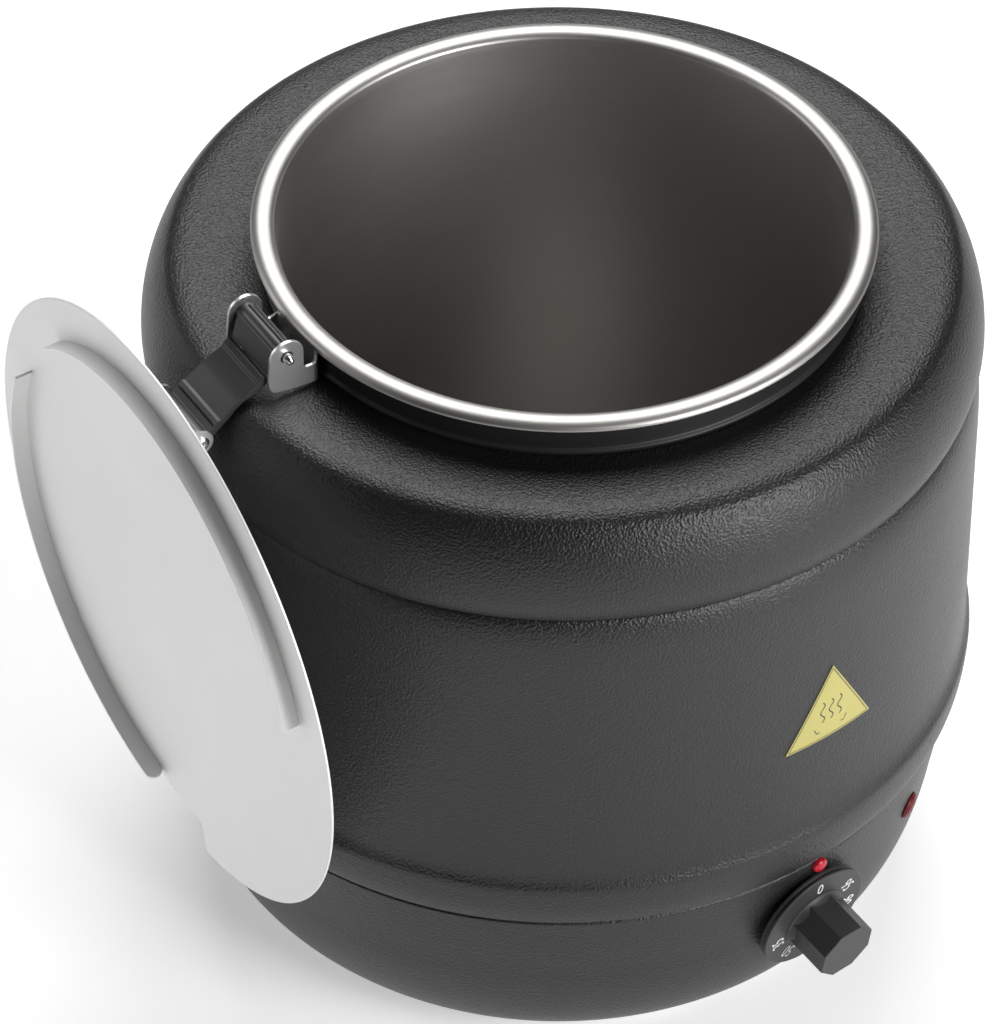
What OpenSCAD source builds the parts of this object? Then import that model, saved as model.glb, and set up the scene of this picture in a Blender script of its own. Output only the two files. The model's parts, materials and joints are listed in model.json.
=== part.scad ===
// Electric soup kettle: a round black stand that heats a lift-out pot in a water bath,
// with a steel lid on a double-pivot hinge that hangs beside the body when it is open.
// Millimetres. Z is up from the table, the lid hinge is at -X, the controls are near -Y,
// and the origin is the centre of the footprint, at the bottom of the feet.

/* [Pot and rim] */
// Height of the top of the pot rim above the table
rim_z = 330; // [330:0.5:332]
// Outer radius of the rolled pot rim
rim_r = 127; // [126.5:0.1:127.2]
// Radius of the pot's mouth, inside the rolled rim
mouth_r = 117; // [116.5:0.1:117.2]
// Depth of the pot from the rim to its bottom
pot_depth = 240; // [220:1:244]
// Sheet thickness of the pot
pot_t = 1.0; // [0.8:0.1:1.2]

/* [Outer shells] */
// Largest radius of the bulged shoulder
shoulder_r = 172.4; // [171:0.1:173]
// Height of the seam between the shoulder and the body
upper_seam_z = 265; // [264:0.1:266]
// Height of the seam between the body and the base
lower_seam_z = 95.4; // [95:0.1:96]
// Radius of the body under the shoulder
body_top_r = 172.6; // [172:0.1:173]
// Radius of the body where it meets the lower band
body_low_r = 173.7; // [173:0.1:174]
// Largest radius of the lower band
band_r = 176; // [175.5:0.1:176.5]
// Radius of the base at the lower seam
base_top_r = 170.4; // [170:0.1:171]
// Sheet thickness of the outer shells
shell_t = 1.2; // [1:0.1:1.3]

/* [Control panel] */
// Direction of the control knob round the body
panel_a = 277; // [270:1:282]
// Height of the knob's centre
dial_z = 61; // [60:0.5:62]
// Radius of the scale disc
dial_r = 26.2; // [25:0.1:27]
// Width of the octagonal grip across its flats
grip_af = 26; // [24:0.1:27]
// Length of the grip in front of the scale disc
grip_l = 21.5; // [20:0.1:24]
// Direction of the pilot lamp round the body
lamp_a = 302; // [298:0.5:304]
// Height of the pilot lamp
lamp_z = 66.2; // [65:0.1:75]
// Side of the triangular caution label
label_side = 45; // [40:1:48]

/* [Lid and hinge] */
// Radius of the lid
lid_r = 133; // [132.5:0.1:133.2]
// Sheet thickness of the lid
lid_t = 1.2; // [1:0.1:1.2]
// Tilt of the hanging lid from the vertical, its top edge farther out
lid_tilt = 2.46; // [2.4:0.01:2.5]
// Distance of the hanging lid's centre from the kettle's axis
hang_r = 190; // [189.8:0.1:190.5]
// Drop of the hanging lid's centre below the rim
hang_drop = 121.8; // [121:0.1:122.5]
// Distance of the hinge pin from the kettle's axis
pin_rho = 139.6; // [139.5:0.1:139.8]
// Height of the hinge pin above the rim
pin_h = 0.6; // [0.5:0.1:0.8]
// Height of the lid's own pivot above the lid's underside
knuckle_h = 15; // [14.8:0.1:15.2]
// Radius of both hinge pins
pin_r = 2.2; // [2:0.1:2.3]

/* [Hidden] */

round_fn = 96;      // true circles
small_fn = 32;      // true circles on small parts
run_gap = 0.06;     // radial clearance of a turning pin
rest_gap = 0.3;     // space between faces that rest on each other
seam_gap = 0.7;     // open line at a shell seam

// Rolled rim
roll_h = 3;
roll_c = (rim_r + mouth_r) / 2;
roll_w = (rim_r - mouth_r) / 2;
roll_z = rim_z - roll_h;

// Shoulder: a shallow dish, a soft crease and a bulge of two quarter ellipses
bulge_c = [146.3, 277.8];
bulge_a = shoulder_r - bulge_c[0];
bulge_up = 39.3;
bulge_down = 24.5;
crease_a = 52;
dish = [[120.6, 311.4], [126, 310.7], [146, 311.9], [155, 312.3]];

// Base wall
wall_slope = 9;
wall_break = [165.4, 61];
base_bottom = [143, 6.6];
base_t = 2;

// Water well and what stands round it
well_r = 131;
well_z = 56;
well_t = 1;
flange_z = 308.2;
gland_as = [-12, 12];
gland_pcr = 61.2;
tie_r = 156;
tie_as = [35, 155, 235];
lug_zs = [60, 300];
lug_rs = [163, 164.4];
lug_t = 2;

// Feet
foot_h = 5.4;
foot_r = 13;
foot_pcd = 236;
plate_t = 1.2;

// Index dot, just above the scale disc
dot_a = panel_a + 0.5;
dot_z = 90.6;
dot_r = 3.5;

// Caution label
label_z = 170;
label_t = 0.3;

// Hinge bracket on the pot rim
plate_in = 124.2;
sheet_t = 1.4;
ear_s = 17;
ear_r = 7.6;
ear_low = rim_z - 18.2;
arm_w = 28.6;
barrel_r = 5;

// Lid pivot, solved so that one arm length suits both the closed and the hanging lid
lid_lift = 0.3;
lid_shift = 0.6;
pin_p = [pin_rho, rim_z + pin_h];
hang_c = [hang_r, rim_z - hang_drop];
up_v = [sin(lid_tilt), cos(lid_tilt)];
top_v = [-cos(lid_tilt), sin(lid_tilt)];
shut_a = [-lid_shift, rim_z + lid_lift + knuckle_h] - pin_p;
hang_a = hang_c + knuckle_h * top_v - pin_p;
knuckle_u = (hang_a * hang_a - shut_a * shut_a) / (2 * (shut_a[0] - hang_a * up_v));
pin_q = pin_p + hang_a + knuckle_u * up_v;
arm_l = norm(pin_q - pin_p);
arm_a = atan2(pin_q[1] - pin_p[1], pin_q[0] - pin_p[0]);

// Locating strips and ladle notch, as angles from the hinge side of the lid
strip_r = 114.5;
strip_h = 7.5;
strip_t = 1.2;
notch_from = 172;
notch_to = 193.5;
notch_r = 117;

// Points of an elliptical arc
function arc(c, rx, ry, a0, a1, n) =
    [for (i = [0:n]) let (a = a0 + (a1 - a0) * i / n) c + [rx * cos(a), ry * sin(a)]];

// Points of a quadratic curve from p to q that leans towards m
function bend(p, m, q, n) =
    [for (i = [0:n]) let (t = i / n) (1 - t) * (1 - t) * p + 2 * t * (1 - t) * m + t * t * q];

function unit(v) = v / norm(v);
function right_of(v) = [v[1], -v[0]];
function flip(p) = [for (i = [len(p) - 1:-1:0]) p[i]];

// A path moved t to the right of its own direction
function inset(p, t) =
    [for (i = [0:len(p) - 1])
        let (j = max(i, 1), k = min(i + 1, len(p) - 1))
        let (m = right_of(unit(p[j] - p[j - 1])) + right_of(unit(p[k] - p[k - 1])))
        p[i] + m * (2 * t / (m * m))];

// A path without points that repeat the one before
function clean(p) = [for (i = [0:len(p) - 1]) if (i == 0 || norm(p[i] - p[max(i - 1, 0)]) > 0.01) p[i]];

// The closed outline of a sheet that follows a path
function sheet(p, t) = let (c = clean(p)) concat(c, flip(inset(c, t)));

// The shoulder's outline from its inner edge to the upper seam
function shoulder_path() = concat(
    dish,
    bend([155, 312.3], [159.2, 312.6], arc(bulge_c, bulge_a, bulge_up, crease_a, crease_a, 1)[0], 4),
    [for (i = [1:9]) arc(bulge_c, bulge_a, bulge_up, crease_a, 0, 9)[i]],
    [for (i = [1:5]) arc(bulge_c, bulge_a, bulge_down, 0, -30, 5)[i]],
    [[167.6, upper_seam_z + seam_gap / 2]]);

// The body's outline from the upper seam down over the band to the lower seam
function body_path() = concat(
    bend([167.8, upper_seam_z - seam_gap / 2], [171.6, 261], [172.2, 246], 6),
    [[body_top_r, 230], [body_low_r, 126.6]],
    bend([body_low_r, 126.6], [body_low_r + 0.1, 123.4], [band_r - 0.6, 120.2], 3),
    bend([band_r - 0.6, 120.2], [band_r + 0.2, 118.6], [band_r - 0.1, 115], 3),
    bend([band_r - 0.1, 115], [175.2, 99], [170.6, lower_seam_z + seam_gap / 2], 5));

// The base's outline from the lower seam to its turned-in bottom edge
function base_path() = concat(
    [[168, lower_seam_z - 0.6], [base_top_r - 0.8, lower_seam_z - 0.7], [base_top_r, lower_seam_z - 1.6]],
    [wall_break],
    [for (i = [1:8]) bend(wall_break, [159.5, 18], base_bottom, 8)[i]],
    [[133, base_bottom[1]]]);

// Radius of the base's outer face on its straight stretch
function base_r(z) = wall_break[0] + (z - wall_break[1]) * (base_top_r - wall_break[0])
    / (lower_seam_z - 1.6 - wall_break[1]);

module lathe(points) rotate_extrude($fn = round_fn) polygon(points);

// Places children on the base wall: their Z points straight out of the wall
module on_wall(a, z) rotate([0, 0, a]) translate([base_r(z), 0, z])
    rotate([0, 90 + wall_slope, 0]) children();

// Places children in the hinge's own plane: x is the distance from the kettle's axis,
// y the height above the table and z the distance along the hinge pins
module hinge_plane() rotate([90, 0, 180]) children();

module slab(w) linear_extrude(w, center = true) children();

module pin(r, l) cylinder(r = r, h = l, center = true, $fn = small_fn);

// Places children on the hanging lid: x points to its hinge side, z out of its top face
module on_lid() translate([-hang_c[0], 0, hang_c[1]]) rotate([0, 90 - lid_tilt, 0])
    rotate([0, 0, 180]) children();

// A round rod between two points
module rod(p, q, r) {
    v = q - p;
    translate(p) rotate([0, acos(v[2] / norm(v)), atan2(v[1], v[0])])
        cylinder(r = r, h = norm(v), $fn = small_fn);
}

// A bent rod through a list of points
module bent_rod(points, r) {
    for (i = [0:len(points) - 2]) rod(points[i], points[i + 1], r);
    for (i = [1:len(points) - 2]) translate(points[i]) sphere(r = 1.05 * r, $fn = small_fn);
}

module hex(af, h) cylinder(r = af / 2 / cos(30), h = h, $fn = 6);

module foot_place(i) rotate([0, 0, 45 + 90 * i]) translate([foot_pcd / 2, 0, 0]) children();

module plate_screw_place(i) rotate([0, 0, 10 + 90 * i]) translate([137, 0, foot_h]) children();

// ---- Stand ----

module base_shell() color([0.17, 0.17, 0.18]) difference() {
    lathe(sheet(base_path(), base_t));
    on_wall(panel_a, dial_z) pin(5.2, 16);
    on_wall(lamp_a, lamp_z) pin(5, 16);
    on_wall(dot_a, dot_z) pin(1.6, 16);
    on_wall(panel_a + 180, 45) pin(8.1, 20);
    for (i = [0:3]) plate_screw_place(i) pin(1.45, 12);
}

module bottom_plate() color([0.55, 0.56, 0.57]) difference() {
    translate([0, 0, foot_h]) cylinder(r = 141, h = plate_t, $fn = round_fn);
    for (i = [0:3]) foot_place(i) translate([0, 0, 6]) pin(2.3, 12);
    for (i = [0:3]) plate_screw_place(i) pin(1.45, 12);
    for (i = [0:2]) for (j = [-3:3]) rotate([0, 0, 90 * i + 45]) translate([60, j * 9, foot_h])
        cube([36, 3, 6], center = true);
}

module foot(i) color([0.1, 0.1, 0.1]) foot_place(i) difference() {
    cylinder(r1 = foot_r - 1.5, r2 = foot_r, h = foot_h, $fn = small_fn);
    translate([0, 0, -1]) cylinder(r = 5, h = 4, $fn = small_fn);
    pin(2.3, 20);
}

module foot_screws() color([0.7, 0.71, 0.72]) for (i = [0:3]) foot_place(i) {
    translate([0, 0, 1.2]) cylinder(r = 4, h = 1.8, $fn = small_fn);
    translate([0, 0, 2.9]) cylinder(r = 2.1, h = 9, $fn = small_fn);
    translate([0, 0, foot_h + plate_t + 0.1]) hex(7, 3.2);
}

module plate_screws() color([0.7, 0.71, 0.72]) for (i = [0:3]) plate_screw_place(i) {
    translate([0, 0, -1.5]) cylinder(r = 3, h = 1.4, $fn = small_fn);
    translate([0, 0, -0.2]) cylinder(r = 1.4, h = 7, $fn = small_fn);
}

module body_shell() color([0.18, 0.18, 0.19]) lathe(sheet(body_path(), shell_t));

module shoulder_cover() color([0.18, 0.18, 0.19]) lathe(sheet(shoulder_path(), shell_t));

// Black ring that closes the gap between the shoulder and the pot rim
module neck_collar() color([0.08, 0.08, 0.09]) lathe([[120.4, 311.9], [123.3, 311.6],
    [123.5, 313.2], [122.2, 314.2], [122, 315.6], [122, 323.8], [120.4, 323.8]]);

module neck_seal() color([0.05, 0.05, 0.05]) lathe([[119, 323.8], [122.6, 323.8],
    [122.6, 325.6], [121.6, roll_z - rest_gap], [119.8, roll_z - rest_gap], [119, 325.6]]);

module water_well() color([0.72, 0.73, 0.74]) difference() {
    lathe(sheet(concat([[153, flange_z], [134, flange_z]],
        [for (i = [1:3]) bend([134, flange_z], [well_r, flange_z], [well_r, flange_z - 3], 3)[i]],
        bend([well_r, well_z + 10], [well_r, well_z], [well_r - 10, well_z], 4),
        [[0, well_z]]), well_t));
    for (a = gland_as) rotate([0, 0, a]) translate([gland_pcr, 0, well_z]) pin(5.1, 8);
    rotate([0, 0, 255]) translate([124, 0, well_z]) pin(1.2, 8);
}

module insulation_jacket() color([0.85, 0.83, 0.72])
    lathe([[133, 98], [148, 98], [148, 300], [133, 300]]);

// Three long studs that pull the shoulder, body and base together
module tie_rods() color([0.7, 0.71, 0.72]) for (a = tie_as) rotate([0, 0, a])
    translate([tie_r, 0, lug_zs[0] - 5]) cylinder(r = 2, h = lug_zs[1] - lug_zs[0] + 10, $fn = small_fn);

// Lugs welded inside the base and the shoulder, and the nuts that pull on them
module tie_rod_lugs() color([0.7, 0.71, 0.72]) for (a = tie_as) rotate([0, 0, a]) for (i = [0, 1])
    difference() {
        translate([149.5, -8, lug_zs[i]]) cube([lug_rs[i] - 149.5, 16, lug_t]);
        translate([tie_r, 0, lug_zs[i]]) pin(2, 8);
    }

module tie_rod_nuts() color([0.7, 0.71, 0.72]) for (a = tie_as) rotate([0, 0, a])
    for (z = [lug_zs[0] - 3.2, lug_zs[1] + lug_t]) translate([tie_r, 0, z]) difference() {
        hex(7, 3.2);
        translate([0, 0, 1.6]) pin(2, 8);
    }

// ---- Heating and control ----

module heating_element() color([0.6, 0.58, 0.55]) {
    translate([0, 0, 67]) rotate([0, 0, 12]) rotate_extrude(angle = 336, $fn = round_fn)
        translate([gland_pcr, 0]) circle(r = 4, $fn = small_fn);
    for (a = gland_as) rotate([0, 0, a]) translate([gland_pcr, 0, 0]) {
        translate([0, 0, 44]) cylinder(r = 4.6, h = 28, $fn = small_fn);
        translate([0, 0, 34]) cylinder(r = 1.6, h = 10.5, $fn = small_fn);
    }
}

module element_nuts() color([0.75, 0.65, 0.35]) for (a = gland_as) rotate([0, 0, a])
    translate([gland_pcr, 0, 0]) difference() {
        union() {
            translate([0, 0, 50]) hex(16, 5.9);
            translate([0, 0, 54.8]) cylinder(r = 5, h = 2.4, $fn = small_fn);
            translate([0, 0, 57.1]) cylinder(r = 8, h = 2, $fn = small_fn);
        }
        translate([0, 0, 55]) pin(4.62, 30);
    }

module thermostat_body() color([0.85, 0.84, 0.8]) on_wall(panel_a, dial_z) difference() {
    union() {
        translate([0, 0, -15]) cube([36, 40, 21], center = true);
        translate([0, 0, -5]) cylinder(r = 5, h = 6.4, $fn = small_fn);
        for (y = [-12, 0, 12]) translate([10, y, -28]) cube([1, 6, 8], center = true);
    }
    translate([0, 0, -6]) pin(3 + run_gap, 16);
}

module thermostat_nut() color([0.7, 0.71, 0.72]) on_wall(panel_a, dial_z) difference() {
    translate([0, 0, 0.1]) hex(14, 1.2);
    pin(5, 8);
}

// Spindle that turns with the knob, with a flat for the grip
module thermostat_shaft() color([0.7, 0.71, 0.72]) on_wall(panel_a, dial_z) difference() {
    translate([0, 0, -13]) cylinder(r = 3, h = 31, $fn = small_fn);
    translate([3.8, 0, 13]) cube([3, 8, 12], center = true);
}

module sensor_bulb() color([0.75, 0.6, 0.4]) rotate([0, 0, 255]) translate([124, 0, 66]) {
    cylinder(r = 3, h = 70, $fn = small_fn);
    translate([0, 0, -2]) cylinder(r1 = 1, r2 = 3, h = 2.01, $fn = small_fn);
}

module bulb_clip() color([0.72, 0.73, 0.74]) rotate([0, 0, 255]) for (z = [80, 118])
    translate([124, 0, z]) difference() {
        union() {
            cylinder(r = 4.2, h = 6, $fn = small_fn);
            translate([0, -4, 0]) cube([5.6, 8, 6]);
        }
        translate([0, 0, 3]) pin(3.02, 10);
        translate([-5, 0, 3]) cube([4, 4.4, 10], center = true);
    }

// Thin filled tube from the thermostat to its bulb in the water
module capillary_tube() color([0.75, 0.6, 0.4]) bent_rod([
    [13, -137.5, 51], [2, -128, 46], [-14, -116, 44], [-32.1, -119.8, 44], [-32.1, -119.8, 65]], 1);

module thermal_cutout() color([0.9, 0.88, 0.82]) translate([-30, 0, well_z]) {
    translate([0, 0, -8.2]) cylinder(r = 8, h = 8, $fn = small_fn);
    for (s = [-1, 1]) translate([0, s * 5, -12]) cube([5, 0.8, 8], center = true);
}

module cutout_bracket() color([0.7, 0.71, 0.72]) translate([-30, 0, well_z]) difference() {
    translate([0, 0, -2.2]) cube([42, 12, 1.6], center = true);
    translate([0, 0, -3]) pin(8.02, 12);
}

module terminal_block() color([0.9, 0.9, 0.86]) rotate([0, 0, panel_a + 180])
    translate([112, 0, foot_h + plate_t]) difference() {
        translate([-9, -22, 0.1]) cube([18, 44, 15]);
        for (y = [-15, -5, 5, 15]) translate([0, y, 15]) pin(2.4, 10);
        for (y = [-15, -5, 5, 15]) translate([0, y, 6]) rotate([0, 90, 0]) pin(1.8, 40);
    }

module earth_screw() color([0.8, 0.65, 0.3]) rotate([0, 0, panel_a + 180])
    translate([80, 0, foot_h + plate_t]) {
        cylinder(r = 4, h = 4, $fn = small_fn);
        cylinder(r = 2, h = 12, $fn = small_fn);
    }

// Three insulated wires: supply to thermostat, thermostat to element, lamp lead
module supply_wires() color([0.7, 0.3, 0.2]) {
    bent_rod([[-11, 98, 15], [-4, 60, 26], [40, 40, 28], [90, -60, 30], [40, -128, 38], [31, -132, 47]], 1.5);
    bent_rod([[12, -134.2, 47], [30, -60, 28], [50, -20, 24], [59.9, -12.7, 32.4]], 1.5);
    bent_rod([[74.6, -115, 70.8], [92, -92, 46], [86, 6, 36], [59.9, 12.7, 32.4]], 1.5);
}

module cord_gland() color([0.1, 0.1, 0.1]) on_wall(panel_a + 180, 45) difference() {
    union() {
        translate([0, 0, -14]) cylinder(r = 8, h = 14.5, $fn = small_fn);
        translate([0, 0, 0.4]) hex(22, 5);
        translate([0, 0, 5.3]) cylinder(r1 = 9.5, r2 = 7, h = 10, $fn = small_fn);
    }
    pin(3.8, 60);
    translate([0, 0, -20]) cylinder(r = 5.4, h = 20.4, $fn = small_fn);
}

module gland_nut() color([0.1, 0.1, 0.1]) on_wall(panel_a + 180, 45) difference() {
    translate([0, 0, -9.2]) hex(20, 5);
    translate([0, 0, -7]) pin(8, 12);
}

module pilot_lamp_lens() color([0.6, 0.02, 0.06]) on_wall(lamp_a, lamp_z) {
    translate([0, 0, 0.1]) cylinder(r = 6.2, h = 0.6, $fn = small_fn);
    translate([0, 0, 0.7]) cylinder(r1 = 5.7, r2 = 5.3, h = 0.9, $fn = small_fn);
    translate([0, 0, 1.6]) cylinder(r1 = 5.3, r2 = 3.6, h = 0.7, $fn = small_fn);
}

module pilot_lamp_body() color([0.1, 0.1, 0.1]) on_wall(lamp_a, lamp_z) {
    translate([0, 0, -24]) cylinder(r = 4.8, h = 24.1, $fn = small_fn);
    for (s = [-1, 1]) translate([0, s * 2.4, -27]) cube([3, 0.8, 8], center = true);
}

module pilot_lamp_nut() color([0.7, 0.71, 0.72]) on_wall(lamp_a, lamp_z) difference() {
    translate([0, 0, -5.6]) hex(15, 3);
    translate([0, 0, -4]) pin(4.8, 8);
}

module index_dot() color([0.8, 0.1, 0.2]) on_wall(dot_a, dot_z) {
    translate([0, 0, 0.1]) cylinder(r = dot_r, h = 1, $fn = small_fn);
    translate([0, 0, 1.1]) intersection() {
        translate([0, 0, -2.3]) sphere(r = sqrt(dot_r * dot_r + 2.3 * 2.3), $fn = small_fn);
        cylinder(r = dot_r, h = 5, $fn = small_fn);
    }
    translate([0, 0, -5]) cylinder(r = 1.6, h = 5.2, $fn = small_fn);
}

// Triangular label that follows the curve of the body
module caution_label() color([0.91, 0.88, 0.55]) rotate([0, 0, panel_a]) intersection() {
    lathe(sheet([for (z = [230, 126.6]) [body_top_r + (230 - z) / 103.4 * (body_low_r - body_top_r)
        + label_t, z]], label_t));
    translate([150, 0, label_z + label_side / 2 / sqrt(3)]) rotate([0, 90, 0]) rotate([0, 0, 180])
        cylinder(r = label_side / sqrt(3), h = 40, $fn = 3);
}

module scale_dial() color([0.16, 0.16, 0.17]) on_wall(panel_a, dial_z) difference() {
    union() {
        translate([0, 0, 1.6]) cylinder(r = dial_r - 0.2, h = 1.4, $fn = round_fn);
        translate([0, 0, 2.9]) cylinder(r = dial_r - 0.8, h = 1.2, $fn = round_fn);
        translate([0, 0, 4]) cylinder(r = dial_r, h = 1.4, $fn = round_fn);
    }
    pin(3, 20);
}

module knob_grip() color([0.2, 0.2, 0.21]) on_wall(panel_a, dial_z) difference() {
    union() {
        translate([0, 0, 5.4]) cylinder(r1 = 15.6, r2 = 14.1, h = 2.4, $fn = round_fn);
        translate([0, 0, 5.4]) rotate([0, 0, 22.5])
            cylinder(r = grip_af / 2 / cos(22.5), h = grip_l, $fn = 8);
    }
    pin(3, 36.2);
}

// ---- Pot and its hinge bracket ----

module inner_pot() color([0.78, 0.78, 0.77]) difference() {
    lathe(concat(
        arc([roll_c, roll_z], roll_w, roll_h, 0, 180, 16),
        [[mouth_r - 0.8, roll_z - 3]],
        bend([mouth_r - 0.8, rim_z - pot_depth + 19], [mouth_r - 0.8, rim_z - pot_depth + pot_t],
            [mouth_r - 18.8, rim_z - pot_depth + pot_t], 6),
        [[0, rim_z - pot_depth + pot_t], [0, rim_z - pot_depth]],
        bend([mouth_r - 18.8, rim_z - pot_depth], [mouth_r - 0.8 + pot_t, rim_z - pot_depth],
            [mouth_r - 0.8 + pot_t, rim_z - pot_depth + 19], 6),
        [[mouth_r - 0.8 + pot_t, roll_z - 1.6], [mouth_r + 1.4, roll_z]]));
}

// Steel bracket welded under the rolled rim: a plate folded into two ears with holes
module hinge_bracket() color([0.7, 0.7, 0.69]) {
    hinge_plane() {
        translate([plate_in + sheet_t / 2, (roll_z + ear_low) / 2 + 0.2])
            cube([sheet_t, roll_z - ear_low - 0.4, 2 * ear_s - 7], center = true);
        for (s = [-1, 1]) translate([0, 0, s * (ear_s - sheet_t / 2)]) difference() {
            slab(sheet_t) {
                translate(pin_p) circle(r = ear_r, $fn = round_fn);
                polygon([[plate_in + 3.5, ear_low + 0.3], [plate_in + 3.5, rim_z - 8.6],
                    [pin_p[0] - ear_r, rim_z - 8.2], [pin_p[0] - ear_r, pin_p[1]],
                    [pin_p[0] + ear_r, pin_p[1]], [pin_p[0] + ear_r + 0.9, rim_z - 9.4],
                    [pin_p[0] + ear_r + 0.1, rim_z - 12.8], [pin_p[0] + ear_r - 3.2, rim_z - 15.8],
                    [plate_in + 12, rim_z - 17.2]]);
            }
            translate(pin_p) pin(2.8, 10);
        }
    }
    for (s = [-1, 1]) translate([-plate_in - 3.5, s * (ear_s - 3.5), ear_low + 0.3])
        intersection() {
            difference() {
                cylinder(r = 3.5, h = rim_z - 8.6 - ear_low - 0.3, $fn = small_fn);
                translate([0, 0, -1]) cylinder(r = 3.5 - sheet_t, h = 30, $fn = small_fn);
            }
            translate([2, s * 2, 5]) cube([4, 4, 30], center = true);
        }
}

// ---- Arm ----

// Places children along the arm: x runs from the rim pin to the lid pin, y is its upper side
module along_arm() hinge_plane() translate(pin_p) rotate([0, 0, arm_a]) children();

// Block on the rim pin, with a round boss through each ear
module hinge_barrel() color([0.2, 0.2, 0.21]) along_arm() difference() {
    union() {
        slab(arm_w - 1) {
            circle(r = barrel_r, $fn = small_fn);
            polygon([[-3.4, 3.5], [2.4, 4.4], [5.2, 2.6], [11, -2.7], [11, -6], [3, -4.6], [-2, -4]]);
        }
        pin(4.4, 2 * (ear_s - sheet_t - 0.15));
        pin(2.8 - run_gap, 2 * ear_s);
    }
    pin(pin_r, 60);
}

// Ribbed blade from the block to the lid pin, arched to pass over the shoulder
module hinge_arm() color([0.2, 0.2, 0.21]) along_arm() difference() {
    slab(arm_w) {
        translate([arm_l, 0]) circle(r = barrel_r, $fn = small_fn);
        polygon([[11.6, -6], [11.6, -3.2], [12.6, -2.2], [15.2, -1.8], [16.6, -2.7], [27.5, -1.2],
            [36.4, -1.1], [37.2, 0], [39.2, 0], [40.2, -1.3], [arm_l - 4, -1.2], [arm_l, 0],
            [arm_l, -5], [arm_l - 4, -5], [33, -4.2], [29.5, -3.5], [25, -3.5], [19, -5.4]]);
    }
    translate([arm_l, 0]) pin(pin_r + run_gap, 60);
    translate([11.5, -4.2, 0]) cube([1, 1.6, 20], center = true);
}

module hinge_pin() color([0.85, 0.85, 0.84]) along_arm() {
    pin(pin_r, 2 * ear_s + 3);
    for (s = [-1, 1]) translate([0, 0, s * (ear_s + 1.5)]) rotate([s < 0 ? 180 : 0, 0, 0]) {
        cylinder(r1 = pin_r, r2 = 1.5, h = 2.2, $fn = small_fn);
        translate([0, 0, 2.2]) cylinder(r1 = 1.5, r2 = 0.9, h = 0.5, $fn = small_fn);
    }
}

// ---- Lid ----

module lid_plate() color([0.82, 0.82, 0.81]) on_lid() difference() {
    cylinder(r = lid_r, h = lid_t, $fn = round_fn);
    rotate([0, 0, notch_from]) translate([0, 0, -1]) rotate_extrude(angle = notch_to - notch_from,
        $fn = round_fn) translate([notch_r, 0]) square([40, 4]);
}

// An upright strip on the underside that centres the lid in the pot's mouth
module strip(a0, a1) rotate([0, 0, a0]) translate([0, 0, -strip_h])
    rotate_extrude(angle = a1 - a0, $fn = round_fn) translate([strip_r - strip_t, 0])
        square([strip_t, strip_h]);

module locating_strip_long() color([0.79, 0.79, 0.77]) on_lid() {
    strip(-171, -65);
    intersection() {
        strip(-174, -170.9);
        rotate([0, 0, -171]) translate([strip_r - 4, 0, -strip_h / 2]) rotate([0, 90, 0])
            cylinder(r = strip_h / 2, h = 8, $fn = small_fn);
    }
}

module locating_strip_short() color([0.79, 0.79, 0.77]) on_lid() strip(-40, 77);

// Folded bracket on the lid's top face that carries the lid pin
module lid_bracket() color([0.7, 0.7, 0.69]) on_lid() {
    translate([knuckle_u - 3, 0, lid_t + sheet_t / 2]) cube([40, 2 * ear_s, sheet_t], center = true);
    for (s = [-1, 1]) translate([0, s * (ear_s - sheet_t / 2), 0]) rotate([90, 0, 0]) difference() {
        slab(sheet_t) {
            translate([knuckle_u, knuckle_h]) circle(r = 5.6, $fn = small_fn);
            polygon([[knuckle_u - 20, lid_t], [knuckle_u - 5.2, knuckle_h + 2],
                [knuckle_u + 5.2, knuckle_h + 2], [knuckle_u + 15, lid_t]]);
        }
        translate([knuckle_u, knuckle_h]) pin(pin_r, 10);
    }
}

module lid_pin() color([0.85, 0.85, 0.84]) on_lid() translate([knuckle_u, 0, knuckle_h])
    rotate([90, 0, 0]) {
        pin(pin_r, 2 * ear_s);
        for (s = [-1, 1]) translate([0, 0, s * (ear_s + 0.7)]) pin(3.4, 1.4);
    }

module lid_knob() color([0.12, 0.12, 0.12]) on_lid() difference() {
    rotate_extrude($fn = round_fn) polygon(concat([[0, lid_t]], [[11, lid_t]],
        bend([11, lid_t + 1], [10, lid_t + 7], [17, lid_t + 8.4], 5),
        bend([18.6, lid_t + 9.6], [18.8, lid_t + 13.4], [12, lid_t + 13.4], 5),
        [[0, lid_t + 13.4]]));
    translate([0, 0, lid_t + 5]) pin(2.5, 10.02);
}

module knob_stud() color([0.7, 0.71, 0.72]) on_lid() translate([0, 0, lid_t])
    cylinder(r = 2.5, h = 10, $fn = small_fn);

base_shell();
bottom_plate();
foot(0);  // foot_1
foot(1);  // foot_2
foot(2);  // foot_3
foot(3);  // foot_4
foot_screws();
plate_screws();
body_shell();
shoulder_cover();
neck_collar();
neck_seal();
water_well();
insulation_jacket();
tie_rods();
tie_rod_lugs();
tie_rod_nuts();
heating_element();
element_nuts();
thermostat_body();
thermostat_nut();
thermostat_shaft();
capillary_tube();
sensor_bulb();
bulb_clip();
thermal_cutout();
cutout_bracket();
terminal_block();
earth_screw();
supply_wires();
cord_gland();
gland_nut();
pilot_lamp_lens();
pilot_lamp_body();
pilot_lamp_nut();
index_dot();
caution_label();
scale_dial();
knob_grip();
inner_pot();
hinge_bracket();
hinge_barrel();
hinge_arm();
hinge_pin();
lid_plate();
locating_strip_long();
locating_strip_short();
lid_bracket();
lid_pin();
lid_knob();
knob_stud();
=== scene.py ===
"""Looks of the soup kettle: smooth shells, folded steel, moulded plastic and their materials,
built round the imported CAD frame. Lengths are in millimetres until a mesh is made, then metres."""
import json
import math

import bmesh
import bpy
from mathutils import Matrix, Vector

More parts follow.
